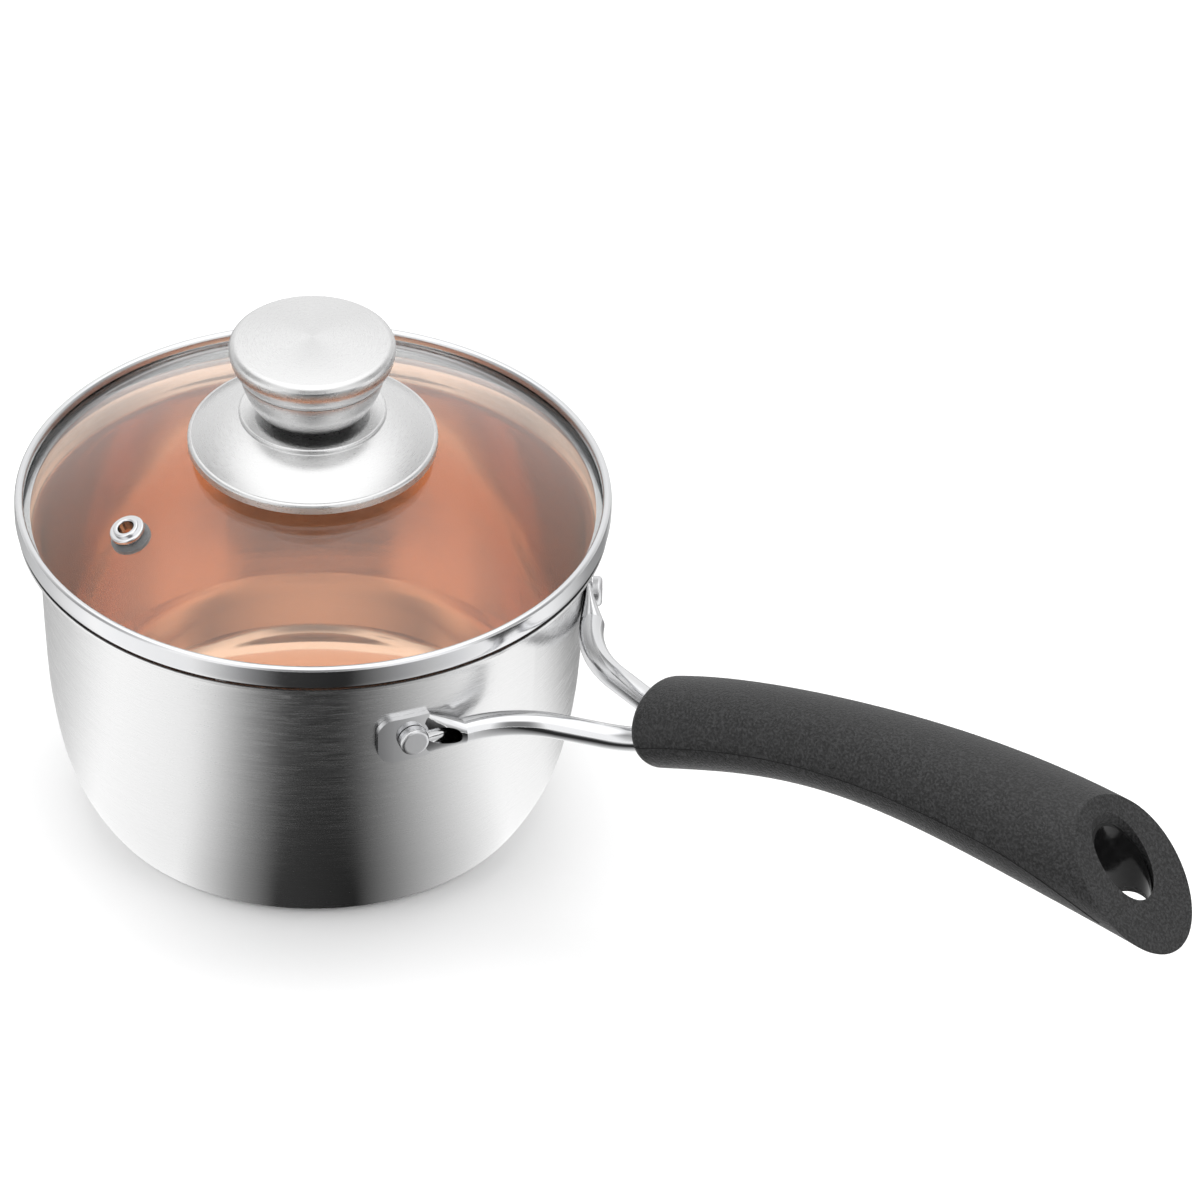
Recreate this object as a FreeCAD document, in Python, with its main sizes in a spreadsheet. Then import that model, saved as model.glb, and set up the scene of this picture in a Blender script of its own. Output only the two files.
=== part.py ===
import FreeCAD, Part

import math
import os
import re

import Sketcher
from FreeCAD import Vector

# Saucepan with a glass lid, in millimetres. The origin is the centre of the flat base, +Z is up
# and +X runs along the handle. Pan and lid are round about Z; the handle is even about XZ.

doc = FreeCAD.newDocument("saucepan")
sizes = doc.addObject("Spreadsheet::Sheet", "sizes")

DRIVING_SIZES = [
    # pan: outer wall from the base up to the flared lip
    ("pan_radius", 80.7), ("pan_height", 97.2), ("wall_steel", 0.9), ("wall_lining", 0.3),
    ("floor_inset", 19.7), ("foot_round", 5), ("foot_lean", 35.5), ("belly_inset", 5.9),
    ("belly_rise", 24), ("belly_round", 62), ("belly_lean", 13.1), ("shoulder_inset", 2),
    ("shoulder_rise", 50), ("shoulder_round", 164), ("shoulder_lean", 4), ("side_round", 1100),
    ("flare_depth", 8), ("flare_round", 7), ("lip_width", 6.4),
    # heat spreading disc closed in under the lining's floor
    ("core_inset", 24), ("core_thickness", 2.4), ("lining_lean", 28), ("lining_round", 11.5),
    ("lining_floor_inset", 22.6),
    # rivets and the flattened ends of the arms
    ("handle_drop", 24.7), ("rivet_turn", 33.5), ("rivet_head_radius", 4.5),
    ("rivet_head_rise", 2.8), ("rivet_shank_radius", 2.5), ("rivet_edge_round", 1.2),
    ("rivet_inner_rise", 1.2), ("tab_gap", 0.5), ("tab_height", 15), ("tab_thickness", 1.8),
    ("tab_far", 10.5), ("tab_near", 4), ("tab_lap", 1.5), ("tab_corner", 5),
    ("seat_gap", 0.25),
    # arms
    ("tube_radius", 3.75), ("tube_wall", 0.8), ("tube_sink", 1.6), ("flare_length", 11.5),
    ("arm_drop", 0.9), ("arm_bend", 36), ("arm_close", 17), ("mouth_bend", 30),
    ("mouth_reach", 8), ("mouth_spread", 9.1), ("arm_end_reach", 26), ("arm_end_spread", 5.6),
    ("arm_end_rise", 11), ("arm_gap", 0.1), ("tie_length", 9), ("tie_height", 5),
    # grip
    ("grip_reach", 45.3), ("mouth_rise", 3.4), ("crest_reach", 105), ("crest_rise", 21.2),
    ("face_reach", 168.5), ("face_fall", 4.6), ("grip_overrun", 198), ("neck_reach", 35),
    ("waist_reach", 78), ("palm_reach", 124), ("mouth_width", 16.5), ("mouth_depth", 12.4),
    ("mouth_round", 3.5), ("neck_width", 15), ("neck_depth", 13), ("waist_width", 15.5),
    ("waist_depth", 13.9), ("palm_width", 18), ("palm_depth", 16.4), ("end_width", 19),
    ("end_depth", 17.4), ("grip_skin", 2.5), ("face_slope", 50.7), ("face_half", 24),
    ("seam_dive", 45), ("seam_bulge", 103), ("seam_low", 0.5), ("eye_radius", 9.1),
    ("eye_step", 0.7), ("eye_back", 3.7),
    # lid: band and glass
    ("lid_gap", 0.2), ("band_overhang", 0.9), ("band_wall", 0.6),
    ("band_land", 5.5), ("band_turn", 2.1), ("band_round", 4), ("band_belly", 3.65),
    ("band_crest", 1.3), ("band_hem", 2.45), ("hem_gap", 0.32), ("glass_thickness", 3.5),
    ("glass_seat", 0.56), ("dome_round", 169), ("glass_inset", 2.6), ("glass_edge_round", 3),
    ("glass_hole", 4.5),
    # steam vent
    ("vent_offset", 62.2), ("vent_turn", 245), ("vent_radius", 5.3), ("vent_bore", 2.4),
    ("vent_rise", 2.1), ("vent_step", 1.2), ("vent_rim", 3.9), ("vent_neck", 3.2),
    ("vent_hole", 3.5), ("vent_crimp", 4.2), ("vent_crimp_rise", 0.5), ("vent_washer_radius", 6),
    ("vent_washer_thickness", 1.2), ("vent_round", 0.5),
    # knob and its fixing
    ("flange_radius", 36.9), ("flange_lift", 1.2), ("flange_skirt", 2.1), ("flange_round", 1.1),
    ("flange_wall", 0.8), ("flange_rise", 12.2), ("flange_bow", 40), ("collar_radius", 21.8),
    ("collar_edge", 0.7), ("collar_rise", 1.5), ("knob_neck_radius", 13),
    ("knob_neck_height", 2.5), ("knob_foot_radius", 16.9), ("knob_seam_radius", 21.6),
    ("knob_seam_rise", 11.5), ("cup_bow", 26), ("knob_radius", 24.6), ("knob_widest_rise", 19),
    ("cap_bow", 11), ("knob_top_radius", 22.5), ("knob_top_rise", 21.6), ("cap_edge_round", 2.4),
    ("knob_height", 23.2), ("knob_wall", 0.8), ("seam_gap", 0.1),
    ("screw_radius", 2.5), ("screw_short", 1.5), ("screw_head_radius", 4.8),
    ("screw_head_height", 2.6), ("drive_radius", 1.6), ("drive_depth", 1.6),
    ("washer_radius", 9), ("washer_thickness", 1), ("gasket_radius", 11),
    ("gasket_thickness", 1.2), ("spacer_radius", 9.5), ("insert_radius", 6),
    ("insert_length", 9.5), ("screw_gap", 0.15),
]
for row, (alias, value) in enumerate(DRIVING_SIZES, start=1):
    sizes.set(f"A{row}", alias.replace("_", " "))
    sizes.set(f"B{row}", str(value))
    sizes.setAlias(f"B{row}", alias)
doc.recompute()
ALIAS = re.compile(r"\b(" + "|".join(alias for alias, _ in DRIVING_SIZES) + r")\b")


def bound(expression):
    """The expression with every size read from the sheet."""
    return ALIAS.sub(r"sizes.\1", str(expression))


def value_of(expression):
    """The number that an expression gives with the sheet's present sizes."""
    return float(sizes.evalExpression(str(expression)))


def bind(target, **expressions):
    """Tie properties of a document object to expressions in the sheet's sizes."""
    for name, expression in expressions.items():
        target.setExpression(name, bound(expression))
    return target


def place(target, x="0", y="0", z="0", yaw="0", pitch="0", roll="0"):
    """Tie an object's placement to expressions; the turns are about Z, then Y, then X."""
    spot = f"create(<<vector>>; {x}; {y}; {z})"
    turn = f"create(<<rotation>>; {yaw}; {pitch}; {roll})"
    return bind(target, Placement=f"create(<<placement>>; {spot}; {turn})")


def new_body(label):
    body = doc.addObject("PartDesign::Body", label)
    body.Label = label
    return body


def new_sketch(body, name, plane):
    """A sketch on one of the body's own origin planes."""
    sketch = body.newObject("Sketcher::SketchObject", name)
    flat = next(item for item in body.Origin.OriginFeatures if item.Role == plane)
    sketch.AttachmentSupport = [(flat, "")]
    sketch.MapMode = "FlatFace"
    return sketch


def fix_point(sketch, edge, end, x, y):
    """Tie one end of an edge to a pair of expressions, measured from the sketch's origin."""
    for kind, axis, expression in (("DistanceX", -2, x), ("DistanceY", -1, y)):
        if str(expression) == "0":
            sketch.addConstraint(Sketcher.Constraint("PointOnObject", edge, end, axis))
            continue
        rule = Sketcher.Constraint(kind, -1, 1, edge, end, value_of(expression))
        index = sketch.addConstraint(rule)
        sketch.setExpression(f"Constraints[{index}]", bound(expression))


def arc_between(start, finish, radius, side):
    """The short arc from start to finish; side 1 turns left (counter-clockwise), -1 right."""
    chord = finish - start
    half = chord.Length / 2
    across = Vector(-chord.y, chord.x, 0).normalize()
    centre = start + chord / 2 + across * side * math.sqrt(max(radius * radius - half * half, 0))
    angles = [math.atan2(p.y - centre.y, p.x - centre.x) for p in (start, finish)]
    first, last = angles if side > 0 else reversed(angles)
    if last < first:
        last += 2 * math.pi
    return Part.ArcOfCircle(Part.Circle(centre, Vector(0, 0, 1), radius), first, last)


def draw(sketch, points, closed=True):
    """Draw an outline. Each point is (x, y) or, where an arc leads on to the next point,
    (x, y, radius, side), all but side as expressions."""
    spots = [Vector(value_of(p[0]), value_of(p[1]), 0) for p in points]
    count = len(points) if closed else len(points) - 1
    starts, ends = [], []
    for index in range(count):
        start, finish = spots[index], spots[(index + 1) % len(points)]
        if len(points[index]) == 2:
            edge = sketch.addGeometry(Part.LineSegment(start, finish))
            starts.append((edge, 1))
            ends.append((edge, 2))
            continue
        radius, side = points[index][2:]
        edge = sketch.addGeometry(arc_between(start, finish, value_of(radius), side))
        rule = sketch.addConstraint(Sketcher.Constraint("Radius", edge, value_of(radius)))
        sketch.setExpression(f"Constraints[{rule}]", bound(radius))
        starts.append((edge, 1 if side > 0 else 2))
        ends.append((edge, 2 if side > 0 else 1))
    for index in range(1, count):
        sketch.addConstraint(Sketcher.Constraint("Coincident", *ends[index - 1], *starts[index]))
    if closed:
        sketch.addConstraint(Sketcher.Constraint("Coincident", *ends[-1], *starts[0]))
    for index in range(count):
        fix_point(sketch, *starts[index], points[index][0], points[index][1])
    if not closed:
        fix_point(sketch, *ends[-1], points[-1][0], points[-1][1])
    return sketch


def turned(label, points):
    """A body made by turning an outline, drawn as (radius, height), about the upright axis."""
    body = new_body(label)
    sketch = draw(new_sketch(body, label + "_outline", "XZ_Plane"), points)
    turn = body.newObject("PartDesign::Revolution", label + "_turn")
    turn.Profile = sketch
    turn.ReferenceAxis = (sketch, ["V_Axis"])
    turn.Angle = 360
    return body


def ring(label, inner, outer, low, high):
    """A plain washer or bush; an inner radius of 0 gives a disc."""
    return turned(label, [(inner, low), (outer, low), (outer, high), (inner, high)])


def drill(body, name, radius, length, **spot):
    """Cut a round hole through a body along the placement's Z."""
    hole = body.newObject("PartDesign::SubtractiveCylinder", name)
    bind(hole, Radius=radius, Height=length)
    place(hole, **spot)
    return hole


def cylinder(name, radius, length, **spot):
    return place(bind(doc.addObject("Part::Cylinder", name), Radius=radius, Height=length), **spot)


def cut(name, base, tool):
    result = doc.addObject("Part::Cut", name)
    result.Base = base
    result.Tool = tool
    return result


def fuse(name, shapes):
    result = doc.addObject("Part::MultiFuse", name)
    result.Shapes = shapes
    return result


def common(name, shapes):
    result = doc.addObject("Part::MultiCommon", name)
    result.Shapes = shapes
    return result


def loft(name, sections):
    result = doc.addObject("Part::Loft", name)
    result.Sections = sections
    result.Solid = True
    return result


# ---------------------------------------------------------------- pan

BELLY_X = "(pan_radius - belly_inset - belly_round * cos(belly_lean))"
BELLY_Z = "(belly_rise + belly_round * sin(belly_lean))"
WALL_TOTAL = "(wall_steel + wall_lining)"
HANDLE_Z = "(pan_height - handle_drop)"
FLARE_Z = "(pan_height - flare_depth)"
WALL_AT_HANDLE = (
    f"(pan_radius - shoulder_inset * ({FLARE_Z} - {HANDLE_Z}) / ({FLARE_Z} - shoulder_rise))"
)
CORE_TOP = "(wall_steel + core_thickness)"


def belly_point(depth, lean):
    """A point of the round belly, at a depth inside the outer wall, where the wall leans so."""
    reach = f"(belly_round - {depth})"
    return f"{BELLY_X} + {reach} * cos({lean})", f"{BELLY_Z} - {reach} * sin({lean})"


def rising_side(depth):
    """The wall from belly to lip edge, at a depth inside the outer face, bottom first."""
    return [
        (f"pan_radius - belly_inset - {depth} * cos(belly_lean)",
         f"belly_rise + {depth} * sin(belly_lean)", f"shoulder_round - {depth}", 1),
        (f"pan_radius - shoulder_inset - {depth} * cos(shoulder_lean)",
         f"shoulder_rise + {depth} * sin(shoulder_lean)", f"side_round - {depth}", 1),
        (f"pan_radius - {depth}", FLARE_Z, f"flare_round + {depth}", -1),
        ("pan_radius + lip_width", f"pan_height - {WALL_TOTAL} + {depth}"),
    ]


def backwards(points):
    """The same outline walked the other way, so each arc moves to its other end."""
    ends = [tuple(p[:2]) for p in points]
    arcs = [p[2:] for p in points]
    walked = []
    for index in range(len(points) - 1, -1, -1):
        arc = arcs[index - 1] if index > 0 else ()
        walked.append(ends[index] + ((arc[0], -arc[1]) if arc else ()))
    return walked


def drill_for_rivets(body):
    """The two rivet holes through the wall, each drilled from a little way inside it."""
    start = f"({WALL_AT_HANDLE} - 3 * rivet_shank_radius)"
    for side, sign in (("left", ""), ("right", "-")):
        drill(body, f"{body.Name}_rivet_hole_{side}", "rivet_shank_radius + seat_gap",
              "6 * rivet_shank_radius", x=f"{start} * cos(rivet_turn)",
              y=f"{sign}{start} * sin(rivet_turn)", z=HANDLE_Z, yaw=f"{sign}rivet_turn",
              pitch="90")


def make_pan_shell():
    """Outer steel pan: flat base, round belly, near upright wall and flared lip."""
    outside = [("0", "0"), ("pan_radius - floor_inset", "0", "foot_round", 1),
               belly_point("0", "foot_lean") + ("belly_round", 1)]
    inside = [("0", "wall_steel"),
              ("pan_radius - floor_inset", "wall_steel", "foot_round - wall_steel", 1),
              belly_point("wall_steel", "foot_lean") + ("belly_round - wall_steel", 1)]
    inside += rising_side("wall_steel")
    body = turned("pan_shell", outside + rising_side("0") + backwards(inside))
    drill_for_rivets(body)
    return body


def make_copper_lining():
    """Copper coloured inner skin, from its own floor up the wall to the lip's edge."""
    outside = [("0", CORE_TOP), ("pan_radius - lining_floor_inset", CORE_TOP, "lining_round", 1),
               belly_point("wall_steel", "lining_lean") + ("belly_round - wall_steel", 1)]
    inside = [("0", f"{CORE_TOP} + wall_lining"),
              ("pan_radius - lining_floor_inset", f"{CORE_TOP} + wall_lining",
               "lining_round - wall_lining", 1),
              belly_point(WALL_TOTAL, "lining_lean") + (f"belly_round - {WALL_TOTAL}", 1)]
    outside += rising_side("wall_steel")
    inside += rising_side(WALL_TOTAL)
    body = turned("copper_lining", outside + backwards(inside))
    drill_for_rivets(body)
    return body


def make_base_core():
    """Aluminium heat spreader between the steel floor and the lining's floor."""
    return ring("base_core", "0", "pan_radius - core_inset", "wall_steel", CORE_TOP)


# ---------------------------------------------------------------- rivets

TAB_INNER = f"({WALL_AT_HANDLE} + tab_gap)"
TAB_OUTER = f"({TAB_INNER} + tab_thickness)"


def make_rivet(side, sign):
    """Button headed rivet on a radial axis, set over with a flatter head inside the pan."""
    inner_face = f"{WALL_AT_HANDLE} - {WALL_TOTAL} - seat_gap"
    outer_face = f"{TAB_OUTER} + seat_gap"
    inner_lip = "rivet_head_radius - rivet_edge_round"
    rivet = turned(f"rivet_{side}", [
        ("0", f"{inner_face} - rivet_inner_rise"),
        (inner_lip, f"{inner_face} - rivet_inner_rise", "rivet_edge_round", 1),
        ("rivet_head_radius", inner_face),
        ("rivet_shank_radius", inner_face),
        ("rivet_shank_radius", outer_face),
        ("rivet_head_radius", outer_face),
        ("rivet_head_radius", f"{outer_face} + rivet_head_rise - rivet_edge_round",
         "rivet_edge_round", 1),
        (inner_lip, f"{outer_face} + rivet_head_rise"),
        ("0", f"{outer_face} + rivet_head_rise"),
    ])
    return place(rivet, z=HANDLE_Z, yaw=f"{sign}rivet_turn", pitch="90")


# ---------------------------------------------------------------- arms

TAB_TURN = "(rivet_turn - tab_near / pan_radius * 180 / pi)"
GRIP_X = "(pan_radius + grip_reach)"
ARM_Z = f"({HANDLE_Z} - arm_drop)"
TUBE_OUTSET = "(tab_thickness / 2 + tube_radius - tube_sink)"


def arm_spot(outset, along, drop="0"):
    """A place facing along the arm beside the wall: out from the tab's inner face, on towards
    the grip and down from the rivets. Local X is up."""
    out = f"({TAB_INNER} + {outset})"
    return {
        "x": f"{out} * cos({TAB_TURN}) + {along} * sin({TAB_TURN})",
        "y": f"{out} * sin({TAB_TURN}) - {along} * cos({TAB_TURN})",
        "z": f"{HANDLE_Z} - {drop}",
        "yaw": f"{TAB_TURN} + 90",
        "pitch": "-90",
    }


def arm_points():
    """Corners of the arm's centre line: flare, bend, grip mouth and the end inside the grip."""
    turn = math.radians(value_of(TAB_TURN))
    reach = value_of(f"{TAB_INNER} + {TUBE_OUTSET}")
    height = value_of(ARM_Z)
    along = Vector(math.sin(turn), -math.cos(turn), 0)
    start = Vector(reach * math.cos(turn), reach * math.sin(turn), height)
    start += along * value_of("flare_length")
    mouth = Vector(value_of(f"{GRIP_X} - mouth_reach"), value_of("mouth_spread"), height)
    slope = math.radians(value_of("arm_close"))
    closing = Vector(math.cos(slope), -math.sin(slope), 0)
    gap = mouth - start
    run = (gap.x * closing.y - gap.y * closing.x) / (along.x * closing.y - along.y * closing.x)
    end = Vector(value_of(f"{GRIP_X} + arm_end_reach"), value_of("arm_end_spread"),
                 height + value_of("arm_end_rise"))
    return [start, start + along * run, mouth, end]


def rounded_path(points, radii):
    """Straight runs through the points, joined at each inner point by a tangent arc."""
    edges = []
    here = points[0]
    for before, corner, after, radius in zip(points, points[1:], points[2:], radii):
        back = (before - corner).normalize()
        ahead = (after - corner).normalize()
        half = back.getAngle(ahead) / 2
        leave = corner + back * (radius / math.tan(half))
        join = corner + ahead * (radius / math.tan(half))
        middle = (back + ahead).normalize()
        crown = corner + middle * (radius / math.sin(half) - radius)
        edges.append(Part.LineSegment(here, leave).toShape())
        edges.append(Part.Arc(leave, crown, join).toShape())
        here = join
    edges.append(Part.LineSegment(here, points[-1]).toShape())
    return Part.Wire(edges)


def make_arm_path():
    """The arm's centre line bends in plan and in height, so it is a wire in space."""
    path = doc.addObject("Part::Feature", "arm_path")
    path.Shape = rounded_path(arm_points(), [value_of("arm_bend"), value_of("mouth_bend")])
    return path


def circle(name, radius, **spot):
    return place(bind(doc.addObject("Part::Circle", name), Radius=radius), **spot)


def ellipse(name, major, minor, **spot):
    outline = doc.addObject("Part::Ellipse", name)
    outline.MajorRadius = value_of(major)
    return place(bind(outline, MajorRadius=major, MinorRadius=minor), **spot)


def swept_bar(name, radius, path):
    """A round bar along the arm's centre line."""
    sweep = doc.addObject("Part::Sweep", name)
    sweep.Sections = [circle(f"{name}_section", radius,
                             **arm_spot(TUBE_OUTSET, "flare_length", "arm_drop"))]
    sweep.Spine = (path, [f"Edge{number}" for number in range(1, len(path.Shape.Edges) + 1)])
    sweep.Solid = True
    return sweep


def make_tab():
    """The flattened end of the tube: curved to the wall, with rounded corners at its far end."""
    outer = bind(doc.addObject("Part::Cylinder", "tab_outer"), Radius=TAB_OUTER,
                 Height="tab_height")
    inner = bind(doc.addObject("Part::Cylinder", "tab_inner"), Radius=TAB_INNER,
                 Height="tab_height")
    for part in (outer, inner):
        place(part, z=f"{HANDLE_Z} - tab_height / 2")
    blank = new_body("tab_blank")
    near = "-tab_near - tab_lap"
    sketch = draw(new_sketch(blank, "tab_outline", "XZ_Plane"), [
        (near, "-tab_height / 2"),
        ("tab_far - tab_corner", "-tab_height / 2", "tab_corner", 1),
        ("tab_far", "tab_corner - tab_height / 2"),
        ("tab_far", "tab_height / 2 - tab_corner", "tab_corner", 1),
        ("tab_far - tab_corner", "tab_height / 2"),
        (near, "tab_height / 2"),
    ])
    pad = blank.newObject("PartDesign::Pad", "tab_pad")
    pad.Profile = sketch
    bind(pad, Length=f"{TAB_OUTER} + tab_height")
    place(blank, z=HANDLE_Z, yaw="rivet_turn + 90")
    return common("tab_plate", [cut("tab_ring", outer, inner), blank])


def make_arm_left(path):
    """Steel tube from the rivets into the grip; its end is flattened, with a scooped mouth."""
    bore = "(tube_radius - tube_wall)"
    flare = loft("arm_flare", [
        ellipse("arm_flare_start", "tab_height / 2", "tab_thickness * 0.6",
                **arm_spot("tab_thickness / 2", "0")),
        circle("arm_flare_end", "tube_radius",
               **arm_spot(TUBE_OUTSET, "flare_length", "arm_drop")),
    ])
    scoop = loft("arm_scoop", [
        circle("arm_scoop_start", bore, **arm_spot(f"tab_thickness + {bore}", "0")),
        circle("arm_scoop_end", bore, **arm_spot(TUBE_OUTSET, "flare_length", "arm_drop")),
    ])
    hole = cylinder("tab_hole", "rivet_shank_radius + seat_gap", "pan_radius + lip_width",
                    z=HANDLE_Z, yaw="rivet_turn", pitch="90")
    outside = fuse("arm_outside", [make_tab(), flare, swept_bar("arm_bar", "tube_radius", path)])
    inside = fuse("arm_inside", [scoop, swept_bar("arm_bore", bore, path), hole])
    return cut("arm_left", outside, inside)


def mirrored(name, source):
    copy = doc.addObject("Part::Mirroring", name)
    copy.Source = source
    copy.Normal = Vector(0, 1, 0)
    return copy


# ---------------------------------------------------------------- grip

MOUTH_Z = f"({HANDLE_Z} + mouth_rise)"
CREST_Z = f"({MOUTH_Z} + crest_rise)"
RISE_ROUND = "((crest_reach * crest_reach + crest_rise * crest_rise) / (2 * crest_rise))"
FALL_RUN = "(face_reach - crest_reach)"
FALL_ROUND = f"(({FALL_RUN} * {FALL_RUN} + face_fall * face_fall) / (2 * face_fall))"
FACE_X = f"({GRIP_X} + face_reach)"
FACE_Z = f"({CREST_Z} - face_fall)"
EYE_X = f"({FACE_X} - eye_back)"


def grip_section(name, reach, width, depth, thinner="0"):
    """An upright ellipse across the grip's centre line, which is one arc up to the crest and
    a flatter one down to the end. The name tells it from the other sections."""
    off = f"(crest_reach - ({reach}))"
    round_ = RISE_ROUND if value_of(off) > 0 else FALL_ROUND
    return ellipse(name, f"{width} - {thinner}", f"{depth} - {thinner}", x=f"{GRIP_X} + {reach}",
                   z=f"{CREST_Z} - {round_} + sqrt({round_} * {round_} - {off} * {off})",
                   yaw="90", roll=f"90 - asin({off} / {round_}) / 1deg")


def grip_loft(name, start, thinner):
    stations = [(start, "mouth"), ("neck_reach", "neck"), ("waist_reach", "waist"),
                ("palm_reach", "palm"), ("face_reach", "end"), ("grip_overrun", "end")]
    return loft(name, [
        grip_section(f"{name}_{index}", reach, f"{part}_width", f"{part}_depth", thinner)
        for index, (reach, part) in enumerate(stations)
    ])


def beyond_face(name, inset):
    """Everything past the slanted end face, or past a plane so far inside it."""
    block = doc.addObject("Part::Box", name)
    bind(block, Length="6 * face_half", Width="6 * face_half", Height="4 * face_half")
    return place(
        block,
        x=f"{FACE_X} - 3 * face_half * cos(face_slope) - {inset} * sin(face_slope)",
        y="-3 * face_half",
        z=f"{FACE_Z} + 3 * face_half * sin(face_slope) - {inset} * cos(face_slope)",
        pitch="face_slope",
    )


def round_mouth(name, blank):
    """Round the rim of the grip's front end."""
    doc.recompute()
    front = Vector(value_of(GRIP_X), 0, value_of(MOUTH_Z))
    edges = blank.Shape.Edges
    nearest = min(range(len(edges)), key=lambda i: (edges[i].CenterOfMass - front).Length)
    rim = doc.addObject("Part::Fillet", name)
    rim.Base = blank
    rim.Edges = [(nearest + 1, value_of("mouth_round"), value_of("mouth_round"))]
    return rim


def above_seam():
    """Everything above the seam, which follows the centre line, then dives to the tip."""
    block = new_body("above_seam")
    dive_x = f"({FACE_X} - seam_dive)"
    dive_off = f"({FALL_RUN} - seam_dive)"
    dive_z = f"{CREST_Z} - {FALL_ROUND} + sqrt({FALL_ROUND} * {FALL_ROUND} - {dive_off} * {dive_off})"
    tip_x = f"{FACE_X} + face_half * cos(face_slope)"
    tip_z = f"{FACE_Z} - face_half * sin(face_slope) - seam_low"
    sketch = draw(new_sketch(block, "seam_outline", "XZ_Plane"), [
        (f"{GRIP_X} - grip_reach / 2", MOUTH_Z),
        (GRIP_X, MOUTH_Z, RISE_ROUND, -1),
        (f"{GRIP_X} + crest_reach", CREST_Z, FALL_ROUND, -1),
        (dive_x, dive_z, "seam_bulge", -1),
        (tip_x, tip_z),
        (f"{tip_x} + grip_reach / 2", tip_z),
        (f"{tip_x} + grip_reach / 2", f"{CREST_Z} + 2 * end_depth"),
        (f"{GRIP_X} - grip_reach / 2", f"{CREST_Z} + 2 * end_depth"),
    ])
    pad = block.newObject("PartDesign::Pad", "seam_pad")
    pad.Profile = sketch
    pad.SideType = "Symmetric"
    bind(pad, Length="4 * end_width")
    return block


def make_grip(path):
    """Rigid core holding the arms, wrapped in an upper and a lower soft cover."""
    arm_room = swept_bar("arm_room", "tube_radius + arm_gap", path)
    arms = [arm_room, mirrored("arm_room_right", arm_room)]
    tie = doc.addObject("Part::Box", "tie_bar_blank")
    slope = "atan(arm_end_rise / (arm_end_reach + mouth_reach))"
    bind(tie, Length="tie_length", Width="2 * arm_end_spread", Height="tie_height")
    place(tie, x=f"{GRIP_X} + arm_end_reach - tie_length * cos({slope}) - tie_height / 2",
          y="-arm_end_spread", pitch=f"-{slope} / 1deg",
          z=f"{ARM_Z} + arm_end_rise - tie_length * sin({slope}) - tie_height / 2")
    cut("tie_bar", tie, fuse("tie_room", arms))
    eye = cylinder("eye_bore", "eye_radius - eye_step", CREST_Z + " + 2 * end_depth", x=EYE_X)
    core = cut("core_blank", grip_loft("core_loft", "grip_skin", "grip_skin"),
               beyond_face("beyond_core", "grip_skin"))
    cut("grip_core", core, fuse("core_room", arms + [tie, eye]))
    skin = cut("cover_blank", grip_loft("cover_loft", "0", "0"), beyond_face("beyond_cover", "0"))
    wide_eye = cylinder("eye_opening", "eye_radius", CREST_Z + " + 2 * end_depth", x=EYE_X)
    shell = cut("cover_shell", round_mouth("cover_rounded", skin),
                fuse("cover_room", [core, wide_eye] + arms))
    seam = above_seam()
    common("grip_cover_upper", [shell, seam])
    cut("grip_cover_lower", shell, seam)


# ---------------------------------------------------------------- lid: glass, band and vent

BAND_RADIUS = "(pan_radius + lip_width + band_overhang)"
BAND_LOW = "(pan_height + lid_gap)"
# the glass stands on the band's land with the lower corner of its rim
GLASS_CORNER = f"({BAND_RADIUS} - glass_inset)"
DOME_INNER = "(dome_round - glass_thickness)"
DOME_Z = (f"({BAND_LOW} + band_wall + glass_seat"
          f" - sqrt({DOME_INNER} * {DOME_INNER} - {GLASS_CORNER} * {GLASS_CORNER}))")
GLASS_CROWN = f"({DOME_Z} + dome_round)"


def dome_height(radius, depth="0"):
    """Height of the glass, at a radius and a depth inside its top."""
    ball = f"(dome_round - {depth})"
    return f"{DOME_Z} + sqrt({ball} * {ball} - {radius} * {radius})"


BAND_TOP = f"({dome_height(GLASS_CORNER)} + hem_gap + band_hem)"


def vent_spot():
    return {
        "x": "vent_offset * cos(vent_turn)",
        "y": "vent_offset * sin(vent_turn)",
        "z": dome_height("vent_offset"),
        "yaw": "vent_turn",
        "pitch": "asin(vent_offset / dome_round) / 1deg",
    }


def make_lid_glass():
    """Domed glass with a rounded rim, a centre hole for the screw and a hole for the vent."""
    glass = turned("lid_glass", [
        ("glass_hole", dome_height("glass_hole", "glass_thickness"),
         "dome_round - glass_thickness", -1),
        (GLASS_CORNER, dome_height(GLASS_CORNER, "glass_thickness"), "glass_edge_round", 1),
        (GLASS_CORNER, dome_height(GLASS_CORNER), "dome_round", 1),
        ("glass_hole", dome_height("glass_hole")),
    ])
    spot = vent_spot()
    turn = "asin(vent_offset / dome_round)"
    spot["x"] = f"(vent_offset - 2 * glass_thickness * sin({turn})) * cos(vent_turn)"
    spot["y"] = f"(vent_offset - 2 * glass_thickness * sin({turn})) * sin(vent_turn)"
    spot["z"] += f" - 2 * glass_thickness * cos({turn})"
    drill(glass, "vent_hole_cut", "vent_hole", "4 * glass_thickness", **spot)
    return glass


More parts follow.
